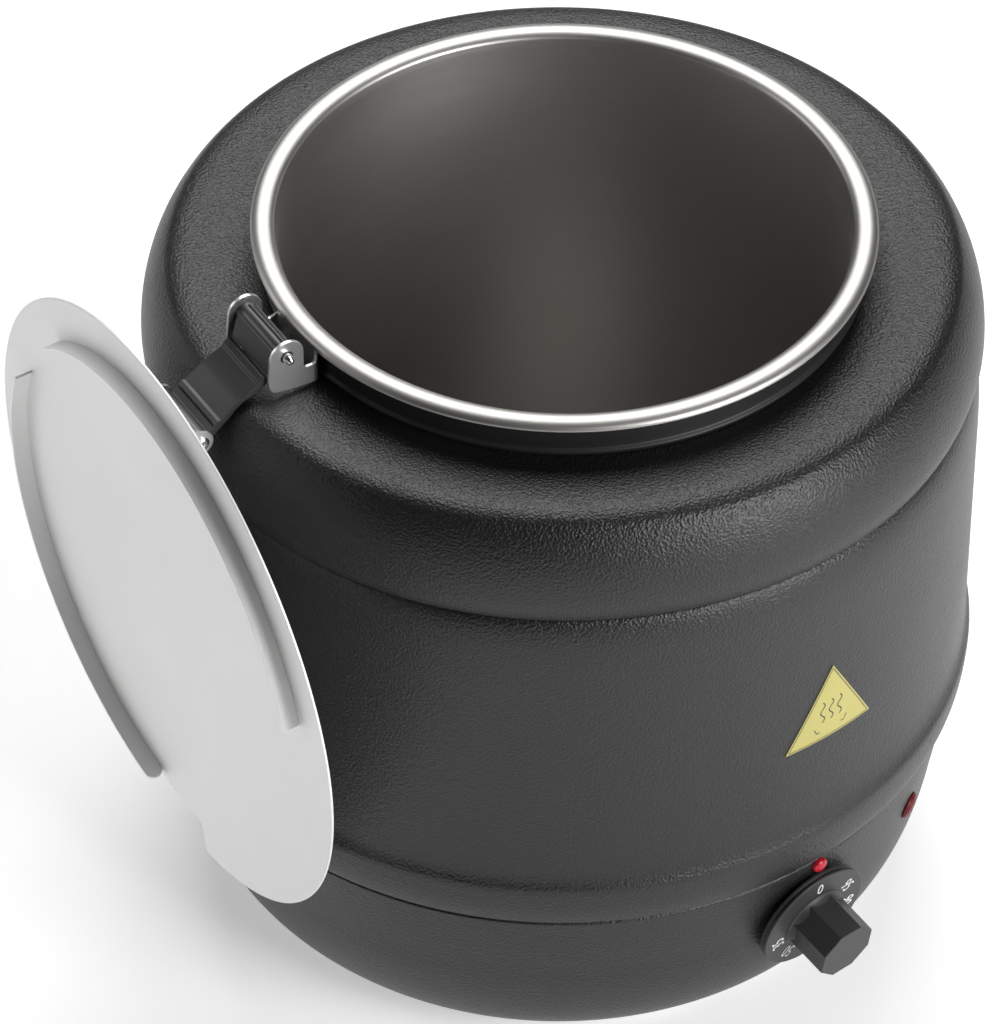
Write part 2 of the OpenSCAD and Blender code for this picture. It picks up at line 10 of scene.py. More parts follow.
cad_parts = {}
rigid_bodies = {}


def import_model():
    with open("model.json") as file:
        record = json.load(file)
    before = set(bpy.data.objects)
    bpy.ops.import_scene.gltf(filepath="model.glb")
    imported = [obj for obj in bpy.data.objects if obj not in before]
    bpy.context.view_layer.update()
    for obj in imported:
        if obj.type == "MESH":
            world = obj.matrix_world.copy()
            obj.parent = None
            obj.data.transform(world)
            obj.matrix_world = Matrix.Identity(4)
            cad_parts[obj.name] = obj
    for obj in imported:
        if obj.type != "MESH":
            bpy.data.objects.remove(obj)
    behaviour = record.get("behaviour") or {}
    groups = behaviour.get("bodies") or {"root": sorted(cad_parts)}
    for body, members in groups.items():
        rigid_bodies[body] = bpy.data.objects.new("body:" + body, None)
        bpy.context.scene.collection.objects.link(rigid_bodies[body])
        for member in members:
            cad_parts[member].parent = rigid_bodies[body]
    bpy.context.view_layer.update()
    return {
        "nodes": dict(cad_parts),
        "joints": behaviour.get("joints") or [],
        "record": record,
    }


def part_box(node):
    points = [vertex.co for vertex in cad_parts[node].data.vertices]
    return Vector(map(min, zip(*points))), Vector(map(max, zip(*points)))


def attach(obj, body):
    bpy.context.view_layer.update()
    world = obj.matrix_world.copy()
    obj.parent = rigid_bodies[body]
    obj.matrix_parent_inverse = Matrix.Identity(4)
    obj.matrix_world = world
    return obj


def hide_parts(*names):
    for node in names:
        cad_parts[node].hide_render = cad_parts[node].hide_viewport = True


for leftover in list(bpy.data.objects):
    bpy.data.objects.remove(leftover)
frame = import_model()
JOINTS = {joint["name"]: joint for joint in frame["joints"]}
MM = 0.001

# ---- Driving sizes, read from the frame where it holds them ----


def node_low(node):
    """The low corner of a CAD node's box, in millimetres."""
    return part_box(node)[0] / MM


def node_high(node):
    """The high corner of a CAD node's box, in millimetres."""
    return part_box(node)[1] / MM


def joint_point(name):
    """A joint's point, in millimetres."""
    return Vector(JOINTS[name]["pos_m"]) / MM


RIM_Z = node_high("inner_pot").z
RIM_R = node_high("inner_pot").x
MOUTH_R = RIM_R - 10
POT_FLOOR_Z = node_low("inner_pot").z
POT_T = 1
SHOULDER_R = 172.4
UPPER_SEAM_Z = node_low("shoulder_cover").z
LOWER_SEAM_Z = node_high("base_shell").z + 0.6
STRAIGHT_TOP = (172.6, 230)
STRAIGHT_FOOT = (173.7, 126.6)
STRAIGHT_SLOPE = (STRAIGHT_FOOT[0] - STRAIGHT_TOP[0]) / (STRAIGHT_TOP[1] - STRAIGHT_FOOT[1])
SEAM_GAP = 0.7
SHELL_T = 1.2
BASE_T = 2.0
WALL_SLOPE = math.radians(9)
WALL_BREAK = (165.4, 61.0)
BASE_TOP_R = 170.4
LID_R = 132.98
LID_T = 1.2
LID_TILT = math.radians(2.46)
RIM_PIN = joint_point("arm_pivot")
LID_PIN = joint_point("lid_pivot")
KNOB = joint_point("knob_turn")
PANEL_A = math.atan2(KNOB.y, KNOB.x)


# ---- Outlines ----


def arc(centre, rx, ry, start, end, steps):
    """Points of an elliptical arc between two angles in degrees."""
    points = []
    for i in range(steps + 1):
        a = math.radians(start + (end - start) * i / steps)
        points.append((centre[0] + rx * math.cos(a), centre[1] + ry * math.sin(a)))
    return points


def bend(p, lean, q, steps):
    """Points of a quadratic curve from p to q that leans towards a third point."""
    points = []
    for i in range(steps + 1):
        t = i / steps
        points.append(tuple((1 - t) ** 2 * a + 2 * t * (1 - t) * m + t * t * b
                            for a, m, b in zip(p, lean, q)))
    return points


def clean(path):
    """A path without points that repeat the one before."""
    kept = [path[0]]
    for point in path[1:]:
        if math.dist(point, kept[-1]) > 0.005:
            kept.append(point)
    return kept


def inset(path, depth):
    """A path moved to the right of its own direction, with mitred corners."""
    moved = []
    for i, point in enumerate(path):
        normal = Vector((0, 0))
        before = Vector(path[max(i, 1)]) - Vector(path[max(i, 1) - 1])
        j = min(i + 1, len(path) - 1)
        after = Vector(path[j]) - Vector(path[j - 1])
        for step in (before, after):
            step.normalize()
            normal += Vector((step.y, -step.x))
        moved.append(tuple(Vector(point) + normal * (2 * depth / normal.length_squared)))
    return moved


def sheet(path, depth):
    """The closed outline of a sheet that follows a path."""
    path = clean(path)
    return path + inset(path, depth)[::-1]


def rounded(outline, radius, steps=4, least=25):
    """A closed outline with each corner sharper than `least` degrees turned into an arc."""
    result = []
    count = len(outline)
    for i, point in enumerate(outline):
        here = Vector(point)
        back = Vector(outline[i - 1]) - here
        ahead = Vector(outline[(i + 1) % count]) - here
        turn = 180 - math.degrees(back.angle(ahead, math.pi))
        if turn < least:
            result.append(tuple(here))
            continue
        reach = radius * math.tan(math.radians(turn) / 2)
        reach = min(reach, 0.45 * back.length, 0.45 * ahead.length)
        start = here + back.normalized() * reach
        end = here + ahead.normalized() * reach
        result += bend(tuple(start), tuple(here), tuple(end), steps)
    return clean(result)


def shoulder_path():
    """Shoulder cover from its inner edge over the dish, crease and bulge to the upper seam."""
    centre = (146.3, 277.8)
    reach = SHOULDER_R - centre[0]
    crown = arc(centre, reach, 39.3, 52, 0, 40)
    return (bend((120.6, 311.4), (126, 310.3), (136, 311.3), 8) + [(146, 311.9)]
            + bend((150, 312.1), (159.2, 312.6), crown[0], 14) + crown
            + arc(centre, reach, 24.5, 0, -30, 16) + [(167.6, UPPER_SEAM_Z)])


def body_path():
    """Middle shell from the upper seam over the rolled band to the lower seam."""
    top = UPPER_SEAM_Z - SEAM_GAP
    return (bend((167.8, top), (171.6, 261), (172.2, 246), 16)
            + bend((172.2, 246), (172.55, 238), STRAIGHT_TOP, 6)
            + [(173.1, 180)]
            + bend(STRAIGHT_FOOT, (173.75, 123.4), (175.4, 120.2), 12)
            + bend((175.4, 120.2), (176.15, 118.6), (175.9, 115), 10)
            + bend((175.9, 115), (175.2, 99), (170.6, LOWER_SEAM_Z + SEAM_GAP / 2), 20))


def base_path():
    """Lower shell from the lower seam to its turned-in bottom edge."""
    return ([(168, LOWER_SEAM_Z - 0.6), (BASE_TOP_R - 0.8, LOWER_SEAM_Z - 0.7),
             (BASE_TOP_R, LOWER_SEAM_Z - 1.6)]
            + bend((166.2, 66), WALL_BREAK, (164.6, 55), 8)
            + bend((164.6, 55), (159.5, 18), (143, 6.6), 28) + [(133, 6.6)])


def base_r(z):
    """Radius of the base's straight stretch at a height."""
    top_z = LOWER_SEAM_Z - 1.6
    return WALL_BREAK[0] + (z - WALL_BREAK[1]) * (BASE_TOP_R - WALL_BREAK[0]) / (top_z - WALL_BREAK[1])


# ---- Places ----


def wall_place(angle, z):
    """A frame on the base wall whose Z points straight out and whose -X points up the wall."""
    return (Matrix.Rotation(angle, 4, "Z") @ Matrix.Translation((base_r(z), 0, z))
            @ Matrix.Rotation(math.pi / 2 + WALL_SLOPE, 4, "Y"))


# In the hinge's plane x is the distance from the kettle's axis, y the height, z along the pins
HINGE_PLACE = Matrix(((-1, 0, 0, 0), (0, 0, 1, 0), (0, 1, 0, 0), (0, 0, 0, 1)))
ARM_REACH = math.hypot(LID_PIN.x - RIM_PIN.x, LID_PIN.z - RIM_PIN.z)
ARM_ANGLE = math.atan2(LID_PIN.z - RIM_PIN.z, RIM_PIN.x - LID_PIN.x)
ARM_PLACE = (HINGE_PLACE @ Matrix.Translation((-RIM_PIN.x, RIM_PIN.z, 0))
             @ Matrix.Rotation(ARM_ANGLE, 4, "Z"))
# On the lid x points to its hinge side and z out of its top face, from the underside's centre
LID_TURN = Matrix.Rotation(math.pi / 2 - LID_TILT, 4, "Y") @ Matrix.Rotation(math.pi, 4, "Z")
KNUCKLE_U = 94.476
KNUCKLE_H = 15.0
LID_PLACE = Matrix.Translation(LID_PIN - LID_TURN @ Vector((KNUCKLE_U, 0, KNUCKLE_H))) @ LID_TURN
DIAL_PLACE = wall_place(PANEL_A, KNOB.z)

# ---- Mesh makers ----


def new_piece(name, verts, faces, body, material, place=Matrix(), node=None, sharp=32):
    """A mesh from points in millimetres, shaded smooth with its real edges kept sharp."""
    mesh = bpy.data.meshes.new(name)
    mesh.from_pydata([tuple((place @ Vector(v)) * MM) for v in verts], [], faces)
    return finish_piece(name, mesh, body, material, node, sharp)


def finish_piece(name, mesh, body, material, node=None, sharp=32):
    """Closes, shades and registers a mesh that is already in metres."""
    work = bmesh.new()
    work.from_mesh(mesh)
    bmesh.ops.remove_doubles(work, verts=work.verts, dist=1e-6)
    bmesh.ops.recalc_face_normals(work, faces=work.faces)
    work.to_mesh(mesh)
    work.free()
    mesh.shade_smooth()
    mesh.set_sharp_from_angle(angle=math.radians(sharp))
    mesh.materials.clear()
    mesh.materials.append(material)
    piece = bpy.data.objects.new(name, mesh)
    bpy.context.scene.collection.objects.link(piece)
    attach(piece, body)
    if node:
        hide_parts(*([node] if isinstance(node, str) else node))
    return piece


def lathe(name, outline, body, material, place=Matrix(), node=None, segments=256, sharp=32):
    """A closed (radius, height) outline turned round the local Z axis."""
    outline = clean(outline)
    verts, rings = [], []
    for r, z in outline:
        if r < 0.01:
            rings.append([len(verts)] * segments)
            verts.append((0, 0, z))
            continue
        rings.append(list(range(len(verts), len(verts) + segments)))
        for i in range(segments):
            a = 2 * math.pi * i / segments
            verts.append((r * math.cos(a), r * math.sin(a), z))
    faces = []
    for low, high in zip(rings, rings[1:] + rings[:1]):
        for i in range(segments):
            j = (i + 1) % segments
            corners = list(dict.fromkeys((low[i], low[j], high[j], high[i])))
            if len(corners) > 2:
                faces.append(corners)
    return new_piece(name, verts, faces, body, material, place, node, sharp)


def plate_mesh(name, outline, thickness, edge, holes=()):
    """A flat plate, centred on its own plane, with softened edges and holes, in millimetres."""
    curve = bpy.data.curves.new(name, "CURVE")
    curve.dimensions = "2D"
    curve.fill_mode = "BOTH"
    curve.extrude = thickness / 2 - edge
    curve.bevel_depth = edge
    curve.bevel_resolution = 2
    curve.offset = -edge
    for loop in [outline, *holes]:
        spline = curve.splines.new("POLY")
        spline.points.add(len(loop) - 1)
        for point, at in zip(spline.points, loop):
            point.co = (at[0], at[1], 0, 1)
        spline.use_cyclic_u = True
    holder = bpy.data.objects.new(name + "_outline", curve)
    bpy.context.scene.collection.objects.link(holder)
    graph = bpy.context.evaluated_depsgraph_get()
    mesh = bpy.data.meshes.new_from_object(holder.evaluated_get(graph))
    bpy.data.objects.remove(holder)
    return mesh


def plate(name, outline, thickness, edge, body, material, place, node=None, holes=()):
    """A flat plate as a finished piece of a body."""
    mesh = plate_mesh(name, outline, thickness, edge, holes)
    mesh.transform(Matrix.Scale(MM, 4) @ place)
    return level(finish_piece(name, mesh, body, material, node))


def level(piece):
    """Weights a piece's normals by face area, so that its flats shade flat up to their soft edges."""
    weigh = piece.modifiers.new("weigh", "WEIGHTED_NORMAL")
    weigh.keep_sharp = True
    graph = bpy.context.evaluated_depsgraph_get()
    mesh = bpy.data.meshes.new_from_object(piece.evaluated_get(graph))
    piece.modifiers.clear()
    piece.data = mesh
    return piece


def circle(centre, radius, steps=48):
    """Points of a closed circle, without the last repeated."""
    return arc(centre, radius, radius, 0, 360 * (steps - 1) / steps, steps - 1)


def strip_mesh(sections):
    """Vertices and faces of a bar through a list of four-cornered sections, closed at both ends."""
    verts = [corner for section in sections for corner in section]
    faces = [(0, 1, 2, 3), tuple(len(verts) - 4 + k for k in (3, 2, 1, 0))]
    for i in range(len(sections) - 1):
        for k in range(4):
            j = (k + 1) % 4
            faces.append((4 * i + k, 4 * i + j, 4 * i + 4 + j, 4 * i + 4 + k))
    return verts, faces


def soften(piece, width, segments=2, angle=40):
    """Rounds a piece's sharp edges."""
    work = bmesh.new()
    work.from_mesh(piece.data)
    bmesh.ops.remove_doubles(work, verts=work.verts, dist=1e-6)
    edges = [e for e in work.edges
             if len(e.link_faces) == 2 and e.calc_face_angle(0) > math.radians(angle)]
    bmesh.ops.bevel(work, geom=edges, offset=width * MM, segments=segments, profile=0.5,
                    affect="EDGES", clamp_overlap=True)
    work.to_mesh(piece.data)
    work.free()
    piece.data.shade_smooth()
    piece.data.set_sharp_from_angle(angle=math.radians(50))
    level(piece)


# ---- Materials ----


def shader(name, colour, roughness, metallic=0.0, **sockets):
    """A material with one Principled shader, its constants set on the shader itself."""
    material = bpy.data.materials.new(name)
    material.use_nodes = True
    tree = material.node_tree
    surface = tree.nodes["Principled BSDF"]
    surface.inputs["Base Color"].default_value = (*colour, 1)
    surface.inputs["Roughness"].default_value = roughness
    surface.inputs["Metallic"].default_value = metallic
    for socket, value in sockets.items():
        surface.inputs[socket.replace("_", " ")].default_value = value
    return material, tree, surface


def add(tree, kind, inputs=None, **settings):
    """A node with its inputs linked or set, and its settings."""
    node = tree.nodes.new("ShaderNode" + kind)
    for key, value in settings.items():
        setattr(node, key, value)
    for key, value in (inputs or {}).items():
        if isinstance(value, bpy.types.NodeSocket):
            tree.links.new(value, node.inputs[key])
        else:
            node.inputs[key].default_value = value
    return node


def place_of(tree):
    """Object coordinates, in metres."""
    return add(tree, "TexCoord").outputs["Object"]


def stretched(tree, scale):
    """Object coordinates scaled apart, for grain that runs one way."""
    return add(tree, "Mapping", {"Vector": place_of(tree), "Scale": scale}).outputs["Vector"]


def round_the_axis(tree, height_scale, turn_scale):
    """Coordinates that run round the kettle's axis, for turned or spun steel."""
    split = add(tree, "SeparateXYZ", {"Vector": place_of(tree)})
    x, y, z = (split.outputs[axis] for axis in "XYZ")
    turn = add(tree, "Math", {0: y, 1: x}, operation="ARCTAN2").outputs[0]
    turn = add(tree, "Math", {0: turn, 1: turn_scale}, operation="MULTIPLY").outputs[0]
    xx = add(tree, "Math", {0: x, 1: x}, operation="MULTIPLY").outputs[0]
    yy = add(tree, "Math", {0: y, 1: y}, operation="MULTIPLY").outputs[0]
    radius = add(tree, "Math", {0: xx, 1: yy}, operation="ADD").outputs[0]
    radius = add(tree, "Math", {0: radius, 1: 0.5}, operation="POWER").outputs[0]
    radius = add(tree, "Math", {0: radius, 1: height_scale}, operation="MULTIPLY").outputs[0]
    height = add(tree, "Math", {0: z, 1: height_scale}, operation="MULTIPLY").outputs[0]
    return add(tree, "CombineXYZ", {"X": turn, "Y": radius, "Z": height}).outputs[0]


def noise(tree, vector, scale, detail=2.0, roughness=0.5):
    """The factor of a noise texture."""
    return add(tree, "TexNoise", {"Vector": vector, "Scale": scale, "Detail": detail,
                                  "Roughness": roughness}).outputs["Fac"]


def ramp(tree, factor, low, high, from_low=0.0, from_high=1.0):
    """A factor mapped linearly from one range to another."""
    return add(tree, "MapRange", {"Value": factor, "From Min": from_low, "From Max": from_high,
                                  "To Min": low, "To Max": high}).outputs[0]


def mix_node(tree, factor, dark, light):
    """A colour between two others."""
    node = tree.nodes.new("ShaderNodeMix")
    node.data_type = "RGBA"
    tree.links.new(factor, node.inputs[0])
    node.inputs[6].default_value = (*dark, 1)
    node.inputs[7].default_value = (*light, 1)
    return node.outputs[2]


def bumped(tree, surface, height, strength, distance):
    """Gives a shader a bump from a height factor; the distance is in metres."""
    bump = add(tree, "Bump", {"Height": height, "Strength": strength, "Distance": distance})
    tree.links.new(bump.outputs["Normal"], surface.inputs["Normal"])


def powder_coat():
    """Semi-gloss black powder coat with the fine pebbled skin of textured paint."""
    material, tree, surface = shader("powder_coat", (0.005, 0.005, 0.0051), 0.4,
                                     Specular_IOR_Level=0.55)
    at = place_of(tree)
    pebbles = add(tree, "TexVoronoi", {"Vector": at, "Scale": 1000.0, "Randomness": 1.0},
                  feature="SMOOTH_F1").outputs["Distance"]
    fine = noise(tree, at, 1400.0, 3.0, 0.6)
    both = add(tree, "Math", {0: pebbles, 1: ramp(tree, fine, -0.25, 0.25)}, operation="ADD").outputs[0]
    bumped(tree, surface, both, 1.0, 0.00036)
    patches = noise(tree, at, 24.0, 3.0)
    tree.links.new(mix_node(tree, patches, (0.004, 0.004, 0.0041), (0.006, 0.006, 0.0061)),
                   surface.inputs["Base Color"])
    tree.links.new(ramp(tree, patches, 0.36, 0.44), surface.inputs["Roughness"])
    return material


def spun_steel():
    """Stainless steel brushed round the axis, as on the inside of a spun pot."""
    material, tree, surface = shader("spun_steel", (0.47, 0.46, 0.44), 0.43, 1.0)
    lines = noise(tree, round_the_axis(tree, 3500.0, 3.0), 1.0, 3.0, 0.65)
    tree.links.new(mix_node(tree, lines, (0.42, 0.41, 0.395), (0.52, 0.51, 0.49)),
                   surface.inputs["Base Color"])
    tree.links.new(ramp(tree, lines, 0.36, 0.5), surface.inputs["Roughness"])
    bumped(tree, surface, lines, 0.25, 0.00003)
    return material


def sheet_steel(name, light, rough, grain, metal=1.0):
    """Satin stainless sheet with faint straight grain and soft cloudy patches."""
    dark = tuple(0.93 * c for c in light)
    material, tree, surface = shader(name, light, rough, metal)
    lines = noise(tree, stretched(tree, grain), 1.0, 2.0)
    clouds = noise(tree, place_of(tree), 14.0, 2.0)
    tree.links.new(mix_node(tree, clouds, dark, light), surface.inputs["Base Color"])
    tree.links.new(ramp(tree, lines, rough - 0.05, rough + 0.07), surface.inputs["Roughness"])
    bumped(tree, surface, lines, 0.12, 0.00002)
    return material


def moulded(name, colour, rough, scale=900.0, strength=0.12, **sockets):
    """Moulded plastic or rubber with a fine spark-eroded skin."""
    material, tree, surface = shader(name, colour, rough, **sockets)
    at = place_of(tree)
    skin = noise(tree, at, scale, 3.0, 0.6)
    blush = noise(tree, at, 60.0, 2.0)
    bumped(tree, surface, skin, strength, 0.00008)
    light = tuple(min(1.0, 1.12 * c + 0.001) for c in colour)
    tree.links.new(mix_node(tree, blush, colour, light), surface.inputs["Base Color"])
    tree.links.new(ramp(tree, skin, rough - 0.05, rough + 0.07), surface.inputs["Roughness"])
    return material


def plated(name, colour, rough):
    """Plain plated metal, slightly mottled."""
    material, tree, surface = shader(name, colour, rough, 1.0)
    mottle = noise(tree, place_of(tree), 260.0, 3.0)
    tree.links.new(mix_node(tree, mottle, tuple(0.85 * c for c in colour), colour),
                   surface.inputs["Base Color"])
    tree.links.new(ramp(tree, mottle, rough - 0.06, rough + 0.1), surface.inputs["Roughness"])
    return material


def wool():
    """Mineral wool: pale, matt and fibrous."""
    material, tree, surface = shader("wool", (0.6, 0.55, 0.38), 0.95)
    fibres = noise(tree, stretched(tree, (300.0, 300.0, 1600.0)), 1.0, 4.0, 0.7)
    tree.links.new(mix_node(tree, fibres, (0.45, 0.4, 0.26), (0.72, 0.68, 0.5)),
                   surface.inputs["Base Color"])
    bumped(tree, surface, fibres, 0.8, 0.0008)
    return material


def red_lens():
    """Dark red lens plastic, translucent on the real lamp but drawn opaque."""
    return moulded("red_lens", (0.1, 0.001, 0.004), 0.36, 400.0, 0.04, Specular_IOR_Level=0.2)


POWDER = powder_coat()
SPUN = spun_steel()
LID_STEEL = sheet_steel("lid_steel", (0.84, 0.84, 0.835), 0.55, (60.0, 900.0, 900.0), 0.6)
# The strips are the lid's own steel, painted paler and made nearly non-metallic so that their shaded
# faces read as lit as the lid: painted light.
STRIP_STEEL_PAINTED_BRIGHT = sheet_steel("strip_steel_painted_bright", (0.97, 0.97, 0.965), 0.6, (60.0, 900.0, 900.0), 0.15)
BRACKET_STEEL = sheet_steel("bracket_steel", (0.76, 0.76, 0.75), 0.36, (700.0, 90.0, 700.0))
BRIGHT = plated("bright_steel", (0.8, 0.8, 0.79), 0.16)
ZINC = plated("zinc_plate", (0.5, 0.51, 0.53), 0.34)
BRASS = plated("brass", (0.68, 0.49, 0.2), 0.3)
COPPER = plated("copper", (0.72, 0.38, 0.22), 0.28)
ELEMENT = plated("element_sheath", (0.3, 0.27, 0.24), 0.4)
ARM_PLASTIC = moulded("arm_plastic", (0.027, 0.027, 0.028), 0.34, 1200.0, 0.08,
                      Specular_IOR_Level=0.65)
KNOB_PLASTIC = moulded("knob_plastic", (0.034, 0.034, 0.035), 0.45, 1500.0, 0.06,
                       Specular_IOR_Level=0.4)
BLACK_NYLON = moulded("black_nylon", (0.012, 0.012, 0.013), 0.42)
RUBBER = moulded("rubber", (0.012, 0.012, 0.012), 0.7, 700.0, 0.2)
RED_DOT = moulded("red_dot", (0.42, 0.005, 0.018), 0.28, 500.0, 0.03)
RED_LENS = red_lens()
FIGURES = moulded("figure_white", (0.75, 0.75, 0.74), 0.5, 900.0, 0.03)
LABEL_FILM = moulded("label_film", (0.42, 0.375, 0.115), 0.5, 300.0, 0.02)
LABEL_INK = moulded("label_ink", (0.02, 0.02, 0.02), 0.45, 900.0, 0.03)
CERAMIC = moulded("ceramic", (0.72, 0.69, 0.6), 0.45, 500.0, 0.1)
SLEEVE = moulded("wire_sleeve", (0.4, 0.08, 0.05), 0.6, 1800.0, 0.4)
WOOL = wool()

CAD_MATERIALS = {
    "black_paint": POWDER, "pot_steel": SPUN, "lid_steel": LID_STEEL, "hinge_steel": BRACKET_STEEL,
    "pin_steel": BRIGHT, "zinc_steel": ZINC, "arm_plastic": ARM_PLASTIC, "knob_plastic": KNOB_PLASTIC,
    "black_rubber": RUBBER, "black_nylon": BLACK_NYLON, "red_dot": RED_DOT, "red_lens": RED_LENS,
    "label_film": LABEL_FILM, "insulation": WOOL, "element_steel": ELEMENT, "brass": BRASS,
    "copper": COPPER, "ceramic": CERAMIC, "wire_sleeve": SLEEVE,
}
for subpart in frame["record"]["subparts"]:
    cad_node = frame["nodes"][subpart["node"]]
    for node_slot in cad_node.material_slots:
        node_slot.material = CAD_MATERIALS[subpart["material_slot"]]


# ---- Stand ----


def make_shells():
    """The three painted shells, the collar and the seal under the pot's rim."""
    lathe("base_skin", rounded(sheet(base_path(), BASE_T), 0.7), "kettle", POWDER,
          node="base_shell", segments=320)
    lathe("body_skin", rounded(sheet(body_path(), SHELL_T), 0.5), "kettle", POWDER,
          node="body_shell", segments=320)
    lathe("shoulder_skin", rounded(sheet(shoulder_path(), SHELL_T), 0.5), "kettle",
          POWDER, node="shoulder_cover", segments=320)
    collar = [(120.4, 311.9), (123.3, 311.6), (123.5, 313.2), (122.2, 314.2), (122, 315.6),
              (122, 323.8), (120.4, 323.8)]
    lathe("neck_ring", rounded(collar, 0.5), "kettle", BLACK_NYLON, node="neck_collar")
    seal_top = RIM_Z - 3.3
    seal = [(119, 323.8), (122.6, 323.8), (122.6, 325.6), (121.6, seal_top), (119.8, seal_top),
            (119, 325.6)]
    lathe("neck_gasket", rounded(seal, 0.6), "kettle", RUBBER, node="neck_seal")


def make_pot():
    """The spun pot with its rolled rim."""
    roll_z = RIM_Z - 3
    wall_r = MOUTH_R - 0.8
    floor_r = wall_r - 18
    outer_r = wall_r + POT_T
    low, high = POT_FLOOR_Z, POT_FLOOR_Z + POT_T
    corner_z = POT_FLOOR_Z + 19
    inner = (arc((RIM_R - 5, roll_z), 5, 3, 0, 180, 24) + [(wall_r, roll_z - 3)]
             + bend((wall_r, corner_z), (wall_r, high), (floor_r, high), 14) + [(0, high), (0, low)])
    outer = (bend((floor_r, low), (outer_r, low), (outer_r, corner_z), 14)
             + [(outer_r, roll_z - 1.6), (MOUTH_R + 1.4, roll_z)])
    lathe("pot_skin", inner + outer, "pot", SPUN, node="inner_pot", segments=320)


# ---- Panel ----

DIAL_R = 26.2
DIAL_FACE = 5.4
GRIP_TOP = 26.9
GRIP_HALF = 13
FIGURE_R = 19.0
FIGURE_SIZE = 8.8
FIRST_FIGURE_TURN = 105
FIGURE_STEP = 39
LAMP_A = math.radians(302)
LAMP_Z = 66.2
DOT_A = PANEL_A + math.radians(0.5)
DOT_Z = 90.6


def make_dial():
    """The scale disc and the eight-sided grip with its flared foot."""
    r = DIAL_R
    disc = [(3, 1.6), (r - 0.3, 1.6), (r - 0.3, 2.9), (r - 0.9, 3), (r - 0.9, 4), (r, 4.1),
            (r, 5.1), (r - 0.35, DIAL_FACE), (3, DIAL_FACE)]
    lathe("dial_disc", rounded(disc, 0.25, 3), "knob", KNOB_PLASTIC, DIAL_PLACE,
          "scale_dial", 160)
    vertex_r = GRIP_HALF / math.cos(math.pi / 8)
    octagon = [(vertex_r * math.cos(a), vertex_r * math.sin(a))
               for a in (math.radians(22.5 + 45 * i) for i in range(8))]
    grip_place = DIAL_PLACE @ Matrix.Translation((0, 0, (DIAL_FACE + GRIP_TOP) / 2))
    plate("grip_head", octagon, GRIP_TOP - DIAL_FACE, 0.4, "knob", KNOB_PLASTIC,
          grip_place, "knob_grip")
    flare = ([(3, DIAL_FACE + 0.02), (15.0, DIAL_FACE + 0.02)]
             + bend((15.0, DIAL_FACE + 0.3), (14.0, DIAL_FACE + 0.8), (13.2, DIAL_FACE + 3.4), 8)
             + [(3, DIAL_FACE + 3.4)])
    lathe("grip_flare", flare, "knob", KNOB_PLASTIC, DIAL_PLACE, segments=96)


def make_figures():
    """White figures round the dial, their tops outward."""
    up = Matrix.Rotation(math.pi / 2, 4, "Z")
    figures = ["0", "35", "50", "65", "80", "90", "95"]
    turns = [0] + [FIRST_FIGURE_TURN + FIGURE_STEP * i for i in range(6)]
    for figure, turn in zip(figures, turns):
        text = bpy.data.curves.new("figure_" + figure, "FONT")
        text.body = figure
        text.size = FIGURE_SIZE
        text.align_x = "CENTER"
        text.align_y = "CENTER"
        text.extrude = 0.03
        holder = bpy.data.objects.new("figure", text)
        bpy.context.scene.collection.objects.link(holder)
        graph = bpy.context.evaluated_depsgraph_get()
        mesh = bpy.data.meshes.new_from_object(holder.evaluated_get(graph))
        bpy.data.objects.remove(holder)
        narrow = Matrix.Diagonal((0.72, 1, 1, 1))
        place = (DIAL_PLACE @ up @ Matrix.Rotation(math.radians(turn), 4, "Z")
                 @ Matrix.Translation((0, FIGURE_R, DIAL_FACE + 0.03)) @ narrow)
        mesh.transform(Matrix.Scale(MM, 4) @ place)
        finish_piece("dial_figure_" + figure, mesh, "knob", FIGURES)


def make_lamp_and_dot():
    """The ringed lamp lens and the red index dot above the dial."""
    lamp_place = wall_place(LAMP_A, LAMP_Z)
    lens = [(0, 0.1), (6.2, 0.1), (6.2, 0.6), (5.8, 0.85), (5.4, 1.5), (4.7, 1.8), (4.4, 1.55),
            (3.9, 1.6), (3.6, 2.0), (2.8, 2.1), (2.6, 1.9), (2.0, 1.9), (1.7, 2.2), (0, 2.25)]
    lathe("lamp_lens", rounded(lens, 0.2, 3), "kettle", RED_LENS, lamp_place,
          "pilot_lamp_lens", 72)
    dot_place = wall_place(DOT_A, DOT_Z)
    dome = [(0, 0.1), (3.5, 0.1), (3.5, 1.1)] + arc((0, 1.1), 3.5, 1.85, 0, 90, 12)
    lathe("dot_dome", dome, "kettle", RED_DOT, dot_place, "index_dot", 64)


# ---- Caution label ----

LABEL_SIDE = 45.0
LABEL_FOOT_Z = 170.0
INK_LIFT = 0.36


def on_body(u, z, lift):
    """A point on the body's straight stretch: u millimetres sideways of the panel's middle."""
    r = STRAIGHT_TOP[0] + (STRAIGHT_TOP[1] - z) * STRAIGHT_SLOPE + lift
    a = PANEL_A + u / r
    return (r * math.cos(a), r * math.sin(a), z)


def ribbon(name, path, width, lift, material):
    """A thin printed line on the label."""
    sections = []
    for i, point in enumerate(path):
        ahead = Vector(path[min(i + 1, len(path) - 1)]) - Vector(path[max(i - 1, 0)])
        side = Vector((-ahead.y, ahead.x)).normalized() * width / 2
        left, right = Vector(point) + side, Vector(point) - side
        sections.append([on_body(left.x, left.y, lift), on_body(right.x, right.y, lift),
                         on_body(right.x, right.y, lift - 0.04), on_body(left.x, left.y, lift - 0.04)])
    verts, faces = strip_mesh(sections)
    return new_piece(name, verts, faces, "kettle", material)


